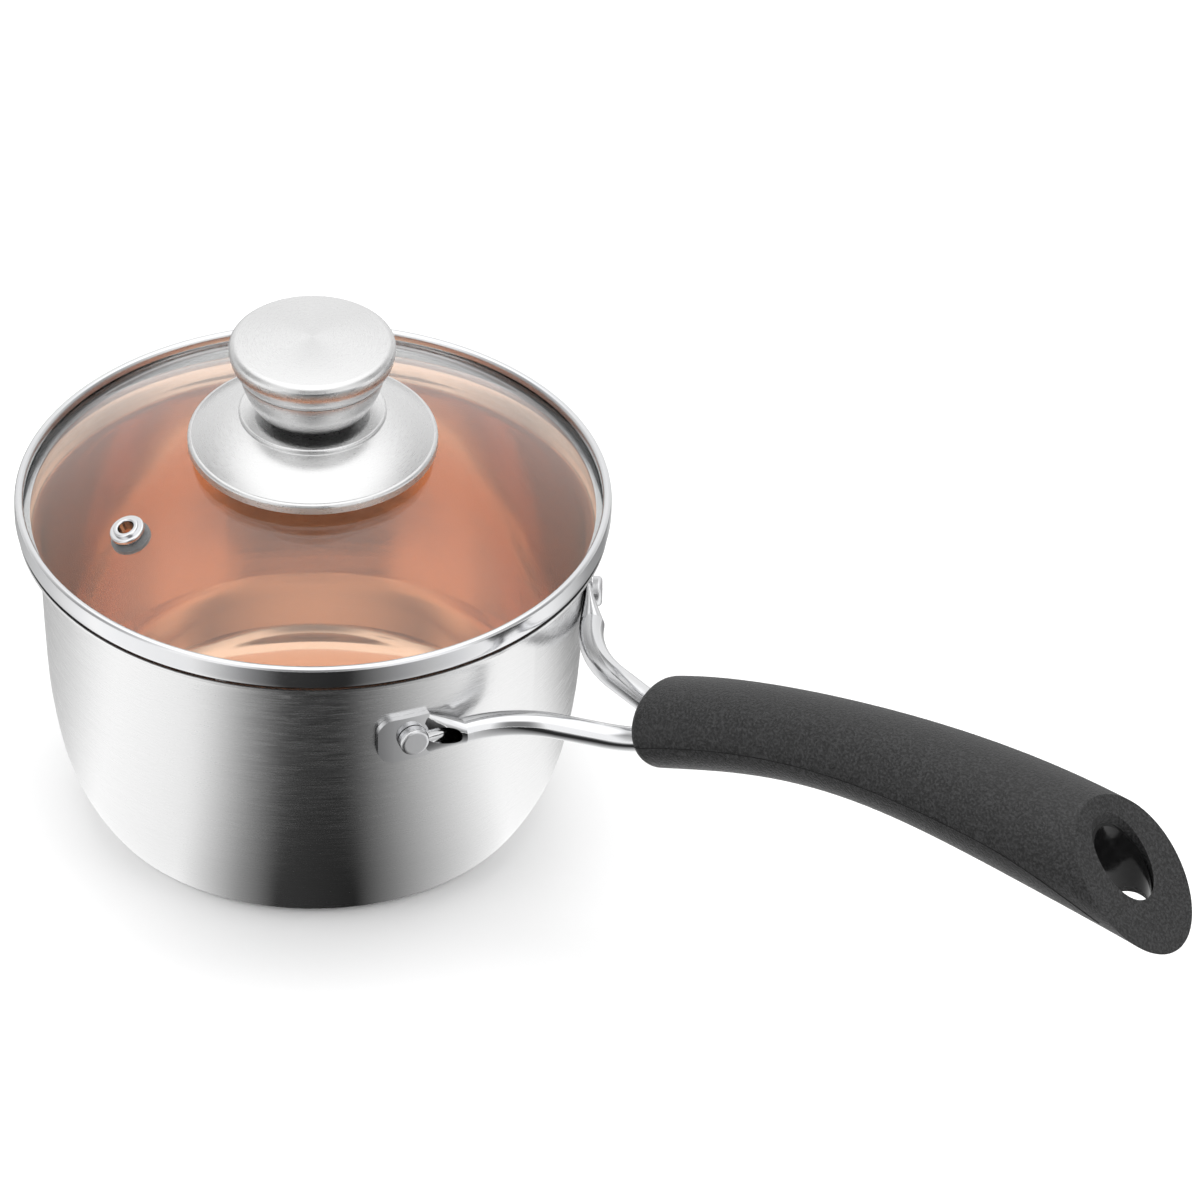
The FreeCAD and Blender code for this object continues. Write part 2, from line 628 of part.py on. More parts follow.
def make_lid_band():
    """Rolled steel channel round the glass: a land that sits on the pan, a round side and a
    crest that hems back down on to the glass."""
    belly = f"{BAND_LOW} + band_belly"
    shoulder = f"{BAND_TOP} - band_crest"
    hem = f"{BAND_TOP} - band_hem"
    crest_inner = "band_crest - band_wall"
    inner_side = f"{BAND_RADIUS} - 2 * band_crest"
    return turned("lid_band", [
        (f"{BAND_RADIUS} - band_land", BAND_LOW),
        (f"{BAND_RADIUS} - band_turn", BAND_LOW, "band_round", 1),
        (BAND_RADIUS, belly),
        (BAND_RADIUS, shoulder, "band_crest", 1),
        (f"{BAND_RADIUS} - band_crest", BAND_TOP, "band_crest", 1),
        (inner_side, shoulder),
        (inner_side, hem),
        (f"{inner_side} + band_wall", hem),
        (f"{inner_side} + band_wall", shoulder, crest_inner, -1),
        (f"{BAND_RADIUS} - band_crest", f"{BAND_TOP} - band_wall", crest_inner, -1),
        (f"{BAND_RADIUS} - band_wall", shoulder),
        (f"{BAND_RADIUS} - band_wall", belly, "band_round - band_wall", -1),
        (f"{BAND_RADIUS} - band_turn - seat_gap", f"{BAND_LOW} + band_wall"),
        (f"{BAND_RADIUS} - band_land", f"{BAND_LOW} + band_wall"),
    ])


def make_vent():
    """Steel eyelet through the glass, set over a washer below; heights run along the hole."""
    below = "(-glass_thickness - seat_gap - vent_washer_thickness)"
    top = "(seat_gap + vent_rise)"
    step = "(seat_gap + vent_step)"
    place(turned("vent_eyelet", [
        ("vent_bore", f"{below} - seat_gap - vent_crimp_rise"),
        ("vent_crimp", f"{below} - seat_gap - vent_crimp_rise"),
        ("vent_crimp", f"{below} - seat_gap"),
        ("vent_neck", f"{below} - seat_gap"),
        ("vent_neck", "seat_gap"),
        ("vent_radius", "seat_gap"),
        ("vent_radius", f"{step} - vent_round", "vent_round", 1),
        ("vent_radius - vent_round", step),
        ("vent_rim", step),
        ("vent_rim", f"{top} - vent_round", "vent_round", 1),
        ("vent_rim - vent_round", top),
        ("vent_bore + vent_round", top, "vent_round", 1),
        ("vent_bore", f"{top} - vent_round"),
    ]), **vent_spot())
    washer = ring("vent_washer", "vent_neck + seat_gap", "vent_washer_radius", below,
                  "-glass_thickness - seat_gap")
    place(washer, **vent_spot())


# ---------------------------------------------------------------- lid: knob and its fixing

SCREW_HOLE = "(screw_radius + screw_gap)"
FLANGE_LOW = f"({GLASS_CROWN} - flange_lift)"
FLANGE_TOP = f"({FLANGE_LOW} + flange_rise)"
KNOB_LOW = f"({FLANGE_TOP} + knob_neck_height)"
KNOB_SEAM = f"({KNOB_LOW} + knob_seam_rise)"
INSERT_TOP = f"({KNOB_LOW} + knob_wall + insert_length)"
UNDER_GLASS = dome_height("gasket_radius", "glass_thickness")
UNDER_GASKET = f"({UNDER_GLASS} - seat_gap - gasket_thickness)"
UNDER_WASHER = f"({UNDER_GASKET} - washer_thickness)"
TOP_GASKET = f"({GLASS_CROWN} + seat_gap)"
KNOB_DOME_RISE = "(knob_height - knob_top_rise)"
KNOB_DOME = (
    f"((knob_top_radius * knob_top_radius + {KNOB_DOME_RISE} * {KNOB_DOME_RISE})"
    f" / (2 * {KNOB_DOME_RISE}))"
)


def make_knob_flange():
    """Pressed steel skirt under the knob: an upright rim, a bowed slope and a flat collar."""
    rim_top = f"{FLANGE_LOW} + flange_skirt"
    slope_top = f"{FLANGE_TOP} - collar_rise"
    return turned("knob_flange", [
        ("flange_radius", FLANGE_LOW),
        ("flange_radius", rim_top, "flange_round", 1),
        ("flange_radius - flange_round", f"{rim_top} + flange_round", "flange_bow", 1),
        ("collar_radius", slope_top),
        ("collar_radius", f"{FLANGE_TOP} - collar_edge", "collar_edge", 1),
        ("collar_radius - collar_edge", FLANGE_TOP),
        (SCREW_HOLE, FLANGE_TOP),
        (SCREW_HOLE, f"{FLANGE_TOP} - flange_wall"),
        ("collar_radius - flange_wall", f"{FLANGE_TOP} - flange_wall"),
        ("collar_radius - flange_wall", f"{slope_top} - flange_wall / 2",
         "flange_bow - flange_wall", -1),
        ("flange_radius - flange_round - flange_wall / 2",
         f"{rim_top} + flange_round - flange_wall"),
        ("flange_radius - flange_wall", rim_top),
        ("flange_radius - flange_wall", FLANGE_LOW),
    ])


def make_knob_cup():
    """Lower half of the hollow knob, bowl shaped, with the screw's hole in its floor."""
    return turned("knob_cup", [
        (SCREW_HOLE, KNOB_LOW),
        ("knob_foot_radius", KNOB_LOW, "cup_bow", 1),
        ("knob_seam_radius", KNOB_SEAM),
        ("knob_seam_radius - knob_wall", KNOB_SEAM, "cup_bow - knob_wall", -1),
        ("knob_foot_radius - knob_wall", f"{KNOB_LOW} + knob_wall"),
        (SCREW_HOLE, f"{KNOB_LOW} + knob_wall"),
    ])


def make_knob_cap():
    """Upper half of the knob: it widens to a rounded shoulder under a low dome."""
    low = f"{KNOB_SEAM} + seam_gap"
    widest = f"{KNOB_LOW} + knob_widest_rise"
    shoulder = f"{KNOB_LOW} + knob_top_rise"
    top = f"{KNOB_LOW} + knob_height"
    return turned("knob_cap", [
        ("knob_seam_radius - knob_wall", low),
        ("knob_seam_radius", low, "cap_bow", 1),
        ("knob_radius", widest, "cap_edge_round", 1),
        ("knob_top_radius", shoulder, KNOB_DOME, 1),
        ("0", top),
        ("0", f"{top} - knob_wall", KNOB_DOME, -1),
        ("knob_top_radius", f"{shoulder} - knob_wall",
         "cap_edge_round - knob_wall", -1),
        ("knob_radius - knob_wall", widest, "cap_bow - knob_wall", -1),
    ])


def make_lid_screw():
    """Pan head screw from under the glass into the knob's insert."""
    head_low = f"{UNDER_WASHER} - screw_head_height"
    return turned("lid_screw", [
        ("0", f"{head_low} + drive_depth"),
        ("drive_radius", f"{head_low} + drive_depth"),
        ("drive_radius", head_low),
        ("screw_head_radius - rivet_edge_round", head_low, "rivet_edge_round", 1),
        ("screw_head_radius", f"{head_low} + rivet_edge_round"),
        ("screw_head_radius", UNDER_WASHER),
        ("screw_radius", UNDER_WASHER),
        ("screw_radius", f"{INSERT_TOP} - screw_short"),
        ("0", f"{INSERT_TOP} - screw_short"),
    ])


def make_knob_fixing():
    """The stack on the screw, from under the glass up to the nut welded in the knob."""
    ring("under_washer", SCREW_HOLE, "washer_radius", UNDER_WASHER, UNDER_GASKET)
    ring("under_gasket", SCREW_HOLE, "gasket_radius", UNDER_GASKET,
         f"{UNDER_GASKET} + gasket_thickness")
    ring("top_gasket", SCREW_HOLE, "gasket_radius", TOP_GASKET, f"{TOP_GASKET} + gasket_thickness")
    ring("knob_spacer", SCREW_HOLE, "spacer_radius", f"{TOP_GASKET} + gasket_thickness",
         f"{FLANGE_TOP} - flange_wall")
    ring("knob_neck", SCREW_HOLE, "knob_neck_radius", FLANGE_TOP, KNOB_LOW)
    ring("knob_insert", SCREW_HOLE, "insert_radius", f"{KNOB_LOW} + knob_wall", INSERT_TOP)
    make_lid_screw()


# ---------------------------------------------------------------- build, check and write

make_pan_shell()
make_base_core()
make_copper_lining()
make_rivet("left", "")
make_rivet("right", "-")
arm_path = make_arm_path()
mirrored("arm_right", make_arm_left(arm_path))
make_grip(arm_path)
make_lid_glass()
make_lid_band()
make_vent()
make_knob_flange()
make_knob_cup()
make_knob_cap()
make_knob_fixing()
doc.recompute()

NODES = [
    "pan_shell", "base_core", "copper_lining", "rivet_left", "rivet_right", "arm_left",
    "arm_right", "tie_bar", "grip_core", "grip_cover_upper", "grip_cover_lower", "lid_glass",
    "lid_band", "vent_eyelet", "vent_washer", "knob_flange", "knob_cup", "knob_cap",
    "knob_neck", "knob_spacer", "knob_insert", "top_gasket", "under_gasket", "under_washer",
    "lid_screw",
]

failed = [item.Name for item in doc.Objects if {"Invalid", "Error"} & set(item.State)]
if failed:
    raise RuntimeError(f"objects not recomputed: {failed}")
for item in doc.Objects:
    if item.TypeId == "PartDesign::SubtractiveCylinder":
        if item.BaseFeature.Shape.Volume - item.Shape.Volume < 1:
            raise RuntimeError(f"{item.Name} cuts nothing")
for node in NODES:
    shape = doc.getObject(node).Shape
    if shape.isNull() or not shape.isValid() or len(shape.Solids) != 1:
        raise RuntimeError(f"{node} is not one valid solid")
    print(f"{node:18s} {shape.Volume / 1000:8.2f} cm3")

os.makedirs("parts", exist_ok=True)
for node in NODES:
    doc.getObject(node).Shape.exportStep(f"parts/{node}.step")
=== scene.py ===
import math

import bmesh
import bpy
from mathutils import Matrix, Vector


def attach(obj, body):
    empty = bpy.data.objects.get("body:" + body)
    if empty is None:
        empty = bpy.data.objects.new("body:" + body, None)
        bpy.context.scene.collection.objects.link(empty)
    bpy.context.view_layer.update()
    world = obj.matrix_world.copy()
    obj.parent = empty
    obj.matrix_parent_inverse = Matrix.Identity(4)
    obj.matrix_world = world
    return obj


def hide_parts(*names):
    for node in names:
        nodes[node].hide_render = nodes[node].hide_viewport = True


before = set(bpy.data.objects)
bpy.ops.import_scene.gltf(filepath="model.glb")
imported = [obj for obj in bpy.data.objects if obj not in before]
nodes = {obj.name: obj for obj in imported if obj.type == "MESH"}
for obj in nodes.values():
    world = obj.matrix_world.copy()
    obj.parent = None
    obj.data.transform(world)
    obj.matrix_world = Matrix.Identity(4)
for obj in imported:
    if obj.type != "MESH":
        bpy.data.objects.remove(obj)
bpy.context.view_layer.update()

# ------------------------------------------------------------------ view
# One long lens, so far off that the view is close to parallel, looking down on the pan with
# the handle coming forward to the right.
VIEW_TURN = math.radians(35.5)
VIEW_DROP = math.radians(35.8)
VIEW_DISTANCE = 12.0
VIEW_AIM_ACROSS = 0.0845
VIEW_AIM_HEIGHT = 0.0671
LENS_LENGTH = 1220.4
SENSOR_WIDTH = 36

view_right = Vector((math.cos(VIEW_TURN), math.sin(VIEW_TURN), 0))
view_level = Vector((-math.sin(VIEW_TURN), math.cos(VIEW_TURN), 0))
view_ahead = view_level * math.cos(VIEW_DROP) - Vector((0, 0, math.sin(VIEW_DROP)))
lens = bpy.data.cameras.new("studio_camera")
lens.lens = LENS_LENGTH
lens.sensor_width = SENSOR_WIDTH
lens.clip_end = 50
camera = bpy.data.objects.new("studio_camera", lens)
bpy.context.collection.objects.link(camera)
aim = view_right * VIEW_AIM_ACROSS + Vector((0, 0, VIEW_AIM_HEIGHT))
camera.location = aim - view_ahead * VIEW_DISTANCE
camera.rotation_euler = view_ahead.to_track_quat("-Z", "Y").to_euler()
bpy.context.scene.camera = camera
bpy.context.scene.view_settings.view_transform = "Standard"


# ------------------------------------------------------------------ studio
# A white table, and a surround that is bright beyond the pan, overhead and on either side of
# the camera, but dark straight behind the camera, which gives polished steel its bands. Three
# soft lamps light what is matt.
def new_material(name):
    """A new material, its node tree and its Principled shader."""
    material = bpy.data.materials.new(name)
    material.use_nodes = True
    return material, material.node_tree, material.node_tree.nodes["Principled BSDF"]


def add_node(tree, kind, **values):
    """A node with properties and unlinked inputs set by name."""
    node = tree.nodes.new(kind)
    for key, value in values.items():
        if hasattr(node, key):
            setattr(node, key, value)
        else:
            node.inputs[key.replace("_", " ")].default_value = value
    return node


def paint(shader, **values):
    """Set inputs of the Principled shader by name."""
    for key, value in values.items():
        shader.inputs[key.replace("_", " ")].default_value = value


def mesh_object(name, verts, faces, smooth=True):
    """A mesh object at the origin, from corner points and faces."""
    mesh = bpy.data.meshes.new(name)
    mesh.from_pydata(verts, [], faces)
    mesh.validate()
    for face in mesh.polygons:
        face.use_smooth = smooth
    thing = bpy.data.objects.new(name, mesh)
    bpy.context.collection.objects.link(thing)
    return thing


TABLE_HALF = 4.0
table = mesh_object("table_top", [(-TABLE_HALF, -TABLE_HALF, 0), (TABLE_HALF, -TABLE_HALF, 0),
                                  (TABLE_HALF, TABLE_HALF, 0), (-TABLE_HALF, TABLE_HALF, 0)],
                    [(0, 1, 2, 3)])
table_paint, tree, shader = new_material("white_table")
paint(shader, Base_Color=(0.93, 0.93, 0.93, 1), Roughness=0.6, Specular_IOR_Level=0.2)
table.data.materials.append(table_paint)


def set_bands(ramp, stops):
    """Fill a colour ramp with greys at their places."""
    while len(ramp.elements) < len(stops):
        ramp.elements.new(1.0)
    for element, (place, glow) in zip(ramp.elements, stops):
        element.position = place
        element.color = (glow, glow, glow, 1)


surround = bpy.data.worlds.new("studio_surround")
surround.use_nodes = True
bpy.context.scene.world = surround
tree = surround.node_tree
backdrop = tree.nodes["Background"]
ray = add_node(tree, "ShaderNodeTexCoord")
level = add_node(tree, "ShaderNodeVectorMath", operation="MULTIPLY")
level.inputs[1].default_value = (1, 1, 0)
unit = add_node(tree, "ShaderNodeVectorMath", operation="NORMALIZE")
facing = add_node(tree, "ShaderNodeVectorMath", operation="DOT_PRODUCT")
facing.inputs[1].default_value = tuple(-view_level)
half = add_node(tree, "ShaderNodeMapRange", From_Min=-1, From_Max=1)
bands = add_node(tree, "ShaderNodeValToRGB")
SURROUND_BANDS = [
    (0.0, 0.98), (0.28, 0.62), (0.50, 0.36), (0.66, 0.60), (0.80, 1.10), (0.945, 1.10),
    (0.975, 0.55), (0.992, 0.28), (1.0, 0.25),
]
set_bands(bands.color_ramp, SURROUND_BANDS)
OVERHEAD_START, OVERHEAD_FULL, OVERHEAD_GLOW = 0.62, 0.86, 1.4
height = add_node(tree, "ShaderNodeSeparateXYZ")
overhead = add_node(tree, "ShaderNodeMapRange", From_Min=OVERHEAD_START, From_Max=OVERHEAD_FULL)
overhead.interpolation_type = "SMOOTHSTEP"
dome = add_node(tree, "ShaderNodeMix", data_type="RGBA")
dome.inputs["B"].default_value = (OVERHEAD_GLOW, OVERHEAD_GLOW, OVERHEAD_GLOW, 1)
tree.links.new(ray.outputs["Generated"], level.inputs[0])
tree.links.new(level.outputs[0], unit.inputs[0])
tree.links.new(unit.outputs[0], facing.inputs[0])
tree.links.new(facing.outputs["Value"], half.inputs["Value"])
tree.links.new(half.outputs["Result"], bands.inputs["Fac"])
tree.links.new(ray.outputs["Generated"], height.inputs[0])
tree.links.new(height.outputs["Z"], overhead.inputs["Value"])
tree.links.new(overhead.outputs["Result"], dome.inputs["Factor"])
tree.links.new(bands.outputs["Color"], dome.inputs["A"])
tree.links.new(dome.outputs["Result"], backdrop.inputs["Color"])
backdrop.inputs["Strength"].default_value = 1.0


LAMP_AIM = Vector((0.05, 0, 0.08))
LAMP_DISTANCE = 1.4


def soft_lamp(name, turn, drop, size, power):
    """An area lamp aimed at the pan, placed by its turn from the camera and its drop. It lights
    what is matt, and polished surfaces don't mirror it."""
    data = bpy.data.lights.new(name, "AREA")
    data.shape = "RECTANGLE"
    data.size, data.size_y = size
    data.energy = power
    lamp = bpy.data.objects.new(name, data)
    bpy.context.collection.objects.link(lamp)
    turn += VIEW_TURN
    ahead = Vector((-math.sin(turn) * math.cos(drop), math.cos(turn) * math.cos(drop),
                    -math.sin(drop)))
    lamp.location = LAMP_AIM - ahead * LAMP_DISTANCE
    lamp.rotation_euler = ahead.to_track_quat("-Z", "Y").to_euler()
    lamp.visible_glossy = False
    lamp.visible_transmission = False


soft_lamp("left_lamp", turn=math.radians(55), drop=math.radians(35), size=(0.9, 1.4), power=4.0)
soft_lamp("right_lamp", turn=math.radians(-55), drop=math.radians(35), size=(0.9, 1.4), power=4.0)
soft_lamp("top_lamp", turn=math.radians(170), drop=math.radians(68), size=(1.6, 1.2), power=10)

# A card round the pan that only polished surfaces see. It stands for the table as a retoucher
# leaves it in steel: bright to either side, with a dark strip straight in front.
CARD_INNER, CARD_OUTER, CARD_LIFT, CARD_STEPS = 0.063, 1.2, 0.0002, 96
CARD_BANDS = [
    (0.0, 0.55), (0.094, 0.36), (0.222, 0.72), (0.289, 1.15), (0.392, 1.0), (0.442, 0.30),
    (0.472, 0.04), (0.532, 0.02), (0.562, 0.22), (0.610, 0.62), (0.672, 1.15), (0.735, 1.05),
    (0.800, 0.36), (0.847, 0.30), (0.903, 0.80), (1.0, 0.55),
]
verts, faces = [], []
for step in range(CARD_STEPS):
    angle = 2 * math.pi * step / CARD_STEPS
    for reach in (CARD_INNER, CARD_OUTER):
        verts.append((reach * math.cos(angle), reach * math.sin(angle), CARD_LIFT))
    after = (step + 1) % CARD_STEPS
    faces.append((2 * step, 2 * step + 1, 2 * after + 1, 2 * after))
card = mesh_object("reflection_card", verts, faces)
card.rotation_euler.z = VIEW_TURN
card.visible_camera = False
card.visible_diffuse = False
card.visible_transmission = False
card.visible_shadow = False
card_glow = bpy.data.materials.new("reflection_card")
card_glow.use_nodes = True
tree = card_glow.node_tree
tree.nodes.remove(tree.nodes["Principled BSDF"])
spot = add_node(tree, "ShaderNodeTexCoord")
to_camera = add_node(tree, "ShaderNodeMapping")
to_camera.inputs["Rotation"].default_value = (0, 0, math.radians(90))
compass = add_node(tree, "ShaderNodeTexGradient", gradient_type="RADIAL")
bands = add_node(tree, "ShaderNodeValToRGB")
set_bands(bands.color_ramp, CARD_BANDS)
glow = add_node(tree, "ShaderNodeEmission")
tree.links.new(spot.outputs["Object"], to_camera.inputs["Vector"])
tree.links.new(to_camera.outputs["Vector"], compass.inputs["Vector"])
tree.links.new(compass.outputs["Fac"], bands.inputs["Fac"])
tree.links.new(bands.outputs["Color"], glow.inputs["Color"])
tree.links.new(glow.outputs["Emission"], tree.nodes["Material Output"].inputs["Surface"])
card.data.materials.append(card_glow)


# ------------------------------------------------------------------ pan
# The pan is drawn from stainless sheet, and its outside is finished with a belt that runs
# round it, so fine level lines cross the wall and stretch each highlight up and down.
def ring_grain(name="ring_grain"):
    """Fine streaks that run round the upright axis: a mask from 0 to 1."""
    group = bpy.data.node_groups.new(name, "ShaderNodeTree")
    for label, value in (("Lines per metre", 4000.0), ("Streaks round", 40.0)):
        socket = group.interface.new_socket(label, in_out="INPUT", socket_type="NodeSocketFloat")
        socket.default_value = value
    group.interface.new_socket("Streak", in_out="OUTPUT", socket_type="NodeSocketFloat")
    inside = add_node(group, "NodeGroupInput")
    outside = add_node(group, "NodeGroupOutput")
    spot = add_node(group, "ShaderNodeTexCoord")
    flat = add_node(group, "ShaderNodeVectorMath", operation="MULTIPLY")
    flat.inputs[1].default_value = (1, 1, 0)
    reach = add_node(group, "ShaderNodeVectorMath", operation="LENGTH")
    round_ = add_node(group, "ShaderNodeVectorMath", operation="NORMALIZE")
    wide = add_node(group, "ShaderNodeVectorMath", operation="SCALE")
    parts = add_node(group, "ShaderNodeSeparateXYZ")
    slope = add_node(group, "ShaderNodeMath", operation="MULTIPLY_ADD")
    slope.inputs[1].default_value = 2.0
    tall = add_node(group, "ShaderNodeMath", operation="MULTIPLY")
    lift = add_node(group, "ShaderNodeCombineXYZ")
    both = add_node(group, "ShaderNodeVectorMath", operation="ADD")
    streaks = add_node(group, "ShaderNodeTexNoise", Scale=1.0, Detail=3.0, Roughness=0.7)
    link = group.links.new
    link(spot.outputs["Object"], flat.inputs[0])
    link(flat.outputs[0], reach.inputs[0])
    link(flat.outputs[0], round_.inputs[0])
    link(round_.outputs[0], wide.inputs[0])
    link(inside.outputs["Streaks round"], wide.inputs["Scale"])
    link(spot.outputs["Object"], parts.inputs[0])
    link(reach.outputs["Value"], slope.inputs[0])
    link(parts.outputs["Z"], slope.inputs[2])
    link(slope.outputs[0], tall.inputs[0])
    link(inside.outputs["Lines per metre"], tall.inputs[1])
    link(tall.outputs[0], lift.inputs["Z"])
    link(wide.outputs[0], both.inputs[0])
    link(lift.outputs[0], both.inputs[1])
    link(both.outputs[0], streaks.inputs["Vector"])
    link(streaks.outputs["Fac"], outside.inputs["Streak"])
    return group


grain_group = ring_grain()


def brushed_steel(name, tone, rough_low, rough_high, lines, streaks, sheen, depth):
    """Brushed stainless: streaks vary the roughness and tone, and cut shallow grooves."""
    material, tree, shader = new_material(name)
    paint(shader, Metallic=1.0, Anisotropic=sheen)
    grain = add_node(tree, "ShaderNodeGroup")
    grain.node_tree = grain_group
    grain.inputs["Lines per metre"].default_value = lines
    grain.inputs["Streaks round"].default_value = streaks
    rough = add_node(tree, "ShaderNodeMapRange", From_Min=0.3, From_Max=0.7, To_Min=rough_low,
                     To_Max=rough_high)
    shade = add_node(tree, "ShaderNodeMapRange", From_Min=0.25, From_Max=0.75,
                     To_Min=tone * 0.93, To_Max=tone * 1.05)
    colour = add_node(tree, "ShaderNodeCombineColor")
    groove = add_node(tree, "ShaderNodeBump", Strength=depth, Distance=0.00003)
    along = add_node(tree, "ShaderNodeTangent", direction_type="RADIAL", axis="Z")
    link = tree.links.new
    link(grain.outputs["Streak"], rough.inputs["Value"])
    link(grain.outputs["Streak"], shade.inputs["Value"])
    link(grain.outputs["Streak"], groove.inputs["Height"])
    for part in ("Red", "Green", "Blue"):
        link(shade.outputs["Result"], colour.inputs[part])
    link(colour.outputs["Color"], shader.inputs["Base Color"])
    link(rough.outputs["Result"], shader.inputs["Roughness"])
    link(groove.outputs["Normal"], shader.inputs["Normal"])
    link(along.outputs["Tangent"], shader.inputs["Tangent"])
    return material


def dress(node, material):
    """Give a piece of the frame its finish."""
    mesh = nodes[node].data
    for index in range(len(mesh.materials)):
        mesh.materials[index] = material


pan_steel = brushed_steel("pan_brushed_steel", tone=0.84, rough_low=0.16, rough_high=0.30,
                          lines=2400, streaks=7, sheen=0.8, depth=0.5)
dress("pan_shell", pan_steel)


# ------------------------------------------------------------------ lining
# The copper coloured skin inside is spun and polished: it mirrors itself, and faint turning
# rings show on the floor.
LIP_INNER, LIP_OUTER = 0.0845, 0.0852


def copper_skin():
    """Polished copper tone with faint turning rings, and a dark steel grey at the rolled lip,
    painted shade of the gap under the lid band.
    """
    material, tree, shader = new_material("copper_lining_polish")
    paint(shader, Metallic=0.86, Anisotropic=0.3, Specular_IOR_Level=0.3)
    grain = add_node(tree, "ShaderNodeGroup")
    grain.node_tree = grain_group
    grain.inputs["Lines per metre"].default_value = 900
    grain.inputs["Streaks round"].default_value = 6
    rough = add_node(tree, "ShaderNodeMapRange", From_Min=0.3, From_Max=0.7, To_Min=0.07,
                     To_Max=0.16)
    tint = add_node(tree, "ShaderNodeMix", data_type="RGBA")
    tint.inputs["A"].default_value = (0.78, 0.48, 0.32, 1)
    tint.inputs["B"].default_value = (0.86, 0.56, 0.39, 1)
    groove = add_node(tree, "ShaderNodeBump", Strength=0.12, Distance=0.00004)
    along = add_node(tree, "ShaderNodeTangent", direction_type="RADIAL", axis="Z")
    link = tree.links.new
    link(grain.outputs["Streak"], rough.inputs["Value"])
    link(grain.outputs["Streak"], tint.inputs["Factor"])
    link(grain.outputs["Streak"], groove.inputs["Height"])
    link(rough.outputs["Result"], shader.inputs["Roughness"])
    link(groove.outputs["Normal"], shader.inputs["Normal"])
    link(along.outputs["Tangent"], shader.inputs["Tangent"])
    # Outside the ring that the lid rests on, the rolled lip is steel grey, darkened as painted
    # shade of the gap under the lid band.
    spot = add_node(tree, "ShaderNodeTexCoord")
    flat = add_node(tree, "ShaderNodeVectorMath", operation="MULTIPLY")
    flat.inputs[1].default_value = (1, 1, 0)
    reach = add_node(tree, "ShaderNodeVectorMath", operation="LENGTH")
    lip = add_node(tree, "ShaderNodeMapRange", From_Min=LIP_INNER, From_Max=LIP_OUTER)
    lip_painted_shade = add_node(tree, "ShaderNodeMix", data_type="RGBA")
    # Dark grey: painted shade of the gap under the lid band.
    lip_painted_shade.inputs["B"].default_value = (0.20, 0.20, 0.20, 1)
    link(spot.outputs["Object"], flat.inputs[0])
    link(flat.outputs[0], reach.inputs[0])
    link(reach.outputs["Value"], lip.inputs["Value"])
    link(lip.outputs["Result"], lip_painted_shade.inputs["Factor"])
    link(tint.outputs["Result"], lip_painted_shade.inputs["A"])
    link(lip_painted_shade.outputs["Result"], shader.inputs["Base Color"])
    return material


dress("copper_lining", copper_skin())
core_metal = brushed_steel("core_aluminium", tone=0.80, rough_low=0.40, rough_high=0.55,
                           lines=1500, streaks=30, sheen=0.2, depth=0.2)
dress("base_core", core_metal)


# ------------------------------------------------------------------ bright steel
# Arms, rivets, band and vent are polished stainless, with the faint waviness and hairline
# scuffs that a buffing wheel leaves.
def scuffs():
    """Soft large waves and fine short scuffs: two masks from 0 to 1."""
    group = bpy.data.node_groups.new("buffing_marks", "ShaderNodeTree")
    for label, value in (("Wave size", 90.0), ("Scuff size", 1800.0)):
        socket = group.interface.new_socket(label, in_out="INPUT", socket_type="NodeSocketFloat")
        socket.default_value = value
    for label in ("Wave", "Scuff"):
        group.interface.new_socket(label, in_out="OUTPUT", socket_type="NodeSocketFloat")
    inside = add_node(group, "NodeGroupInput")
    outside = add_node(group, "NodeGroupOutput")
    spot = add_node(group, "ShaderNodeTexCoord")
    wave = add_node(group, "ShaderNodeTexNoise", Detail=1.0)
    scuff = add_node(group, "ShaderNodeTexNoise", Detail=4.0, Roughness=0.65)
    group.links.new(spot.outputs["Object"], wave.inputs["Vector"])
    group.links.new(spot.outputs["Object"], scuff.inputs["Vector"])
    group.links.new(inside.outputs["Wave size"], wave.inputs["Scale"])
    group.links.new(inside.outputs["Scuff size"], scuff.inputs["Scale"])
    group.links.new(wave.outputs["Fac"], outside.inputs["Wave"])
    group.links.new(scuff.outputs["Fac"], outside.inputs["Scuff"])
    return group


scuff_group = scuffs()


def polished_steel(name, tone, rough_low, rough_high, wave_depth):
    """Bright stainless with buffing marks in its roughness and a slight wave in its surface."""
    material, tree, shader = new_material(name)
    paint(shader, Metallic=1.0)
    marks = add_node(tree, "ShaderNodeGroup")
    marks.node_tree = scuff_group
    rough = add_node(tree, "ShaderNodeMapRange", From_Min=0.3, From_Max=0.7, To_Min=rough_low,
                     To_Max=rough_high)
    tint = add_node(tree, "ShaderNodeMix", data_type="RGBA")
    tint.inputs["A"].default_value = (tone * 0.96, tone * 0.97, tone, 1)
    tint.inputs["B"].default_value = (tone * 1.02, tone * 1.02, tone * 1.02, 1)
    swell = add_node(tree, "ShaderNodeBump", Strength=wave_depth, Distance=0.0001)
    link = tree.links.new
    link(marks.outputs["Scuff"], rough.inputs["Value"])
    link(marks.outputs["Wave"], tint.inputs["Factor"])
    link(marks.outputs["Wave"], swell.inputs["Height"])
    link(tint.outputs["Result"], shader.inputs["Base Color"])
    link(rough.outputs["Result"], shader.inputs["Roughness"])
    link(swell.outputs["Normal"], shader.inputs["Normal"])
    return material


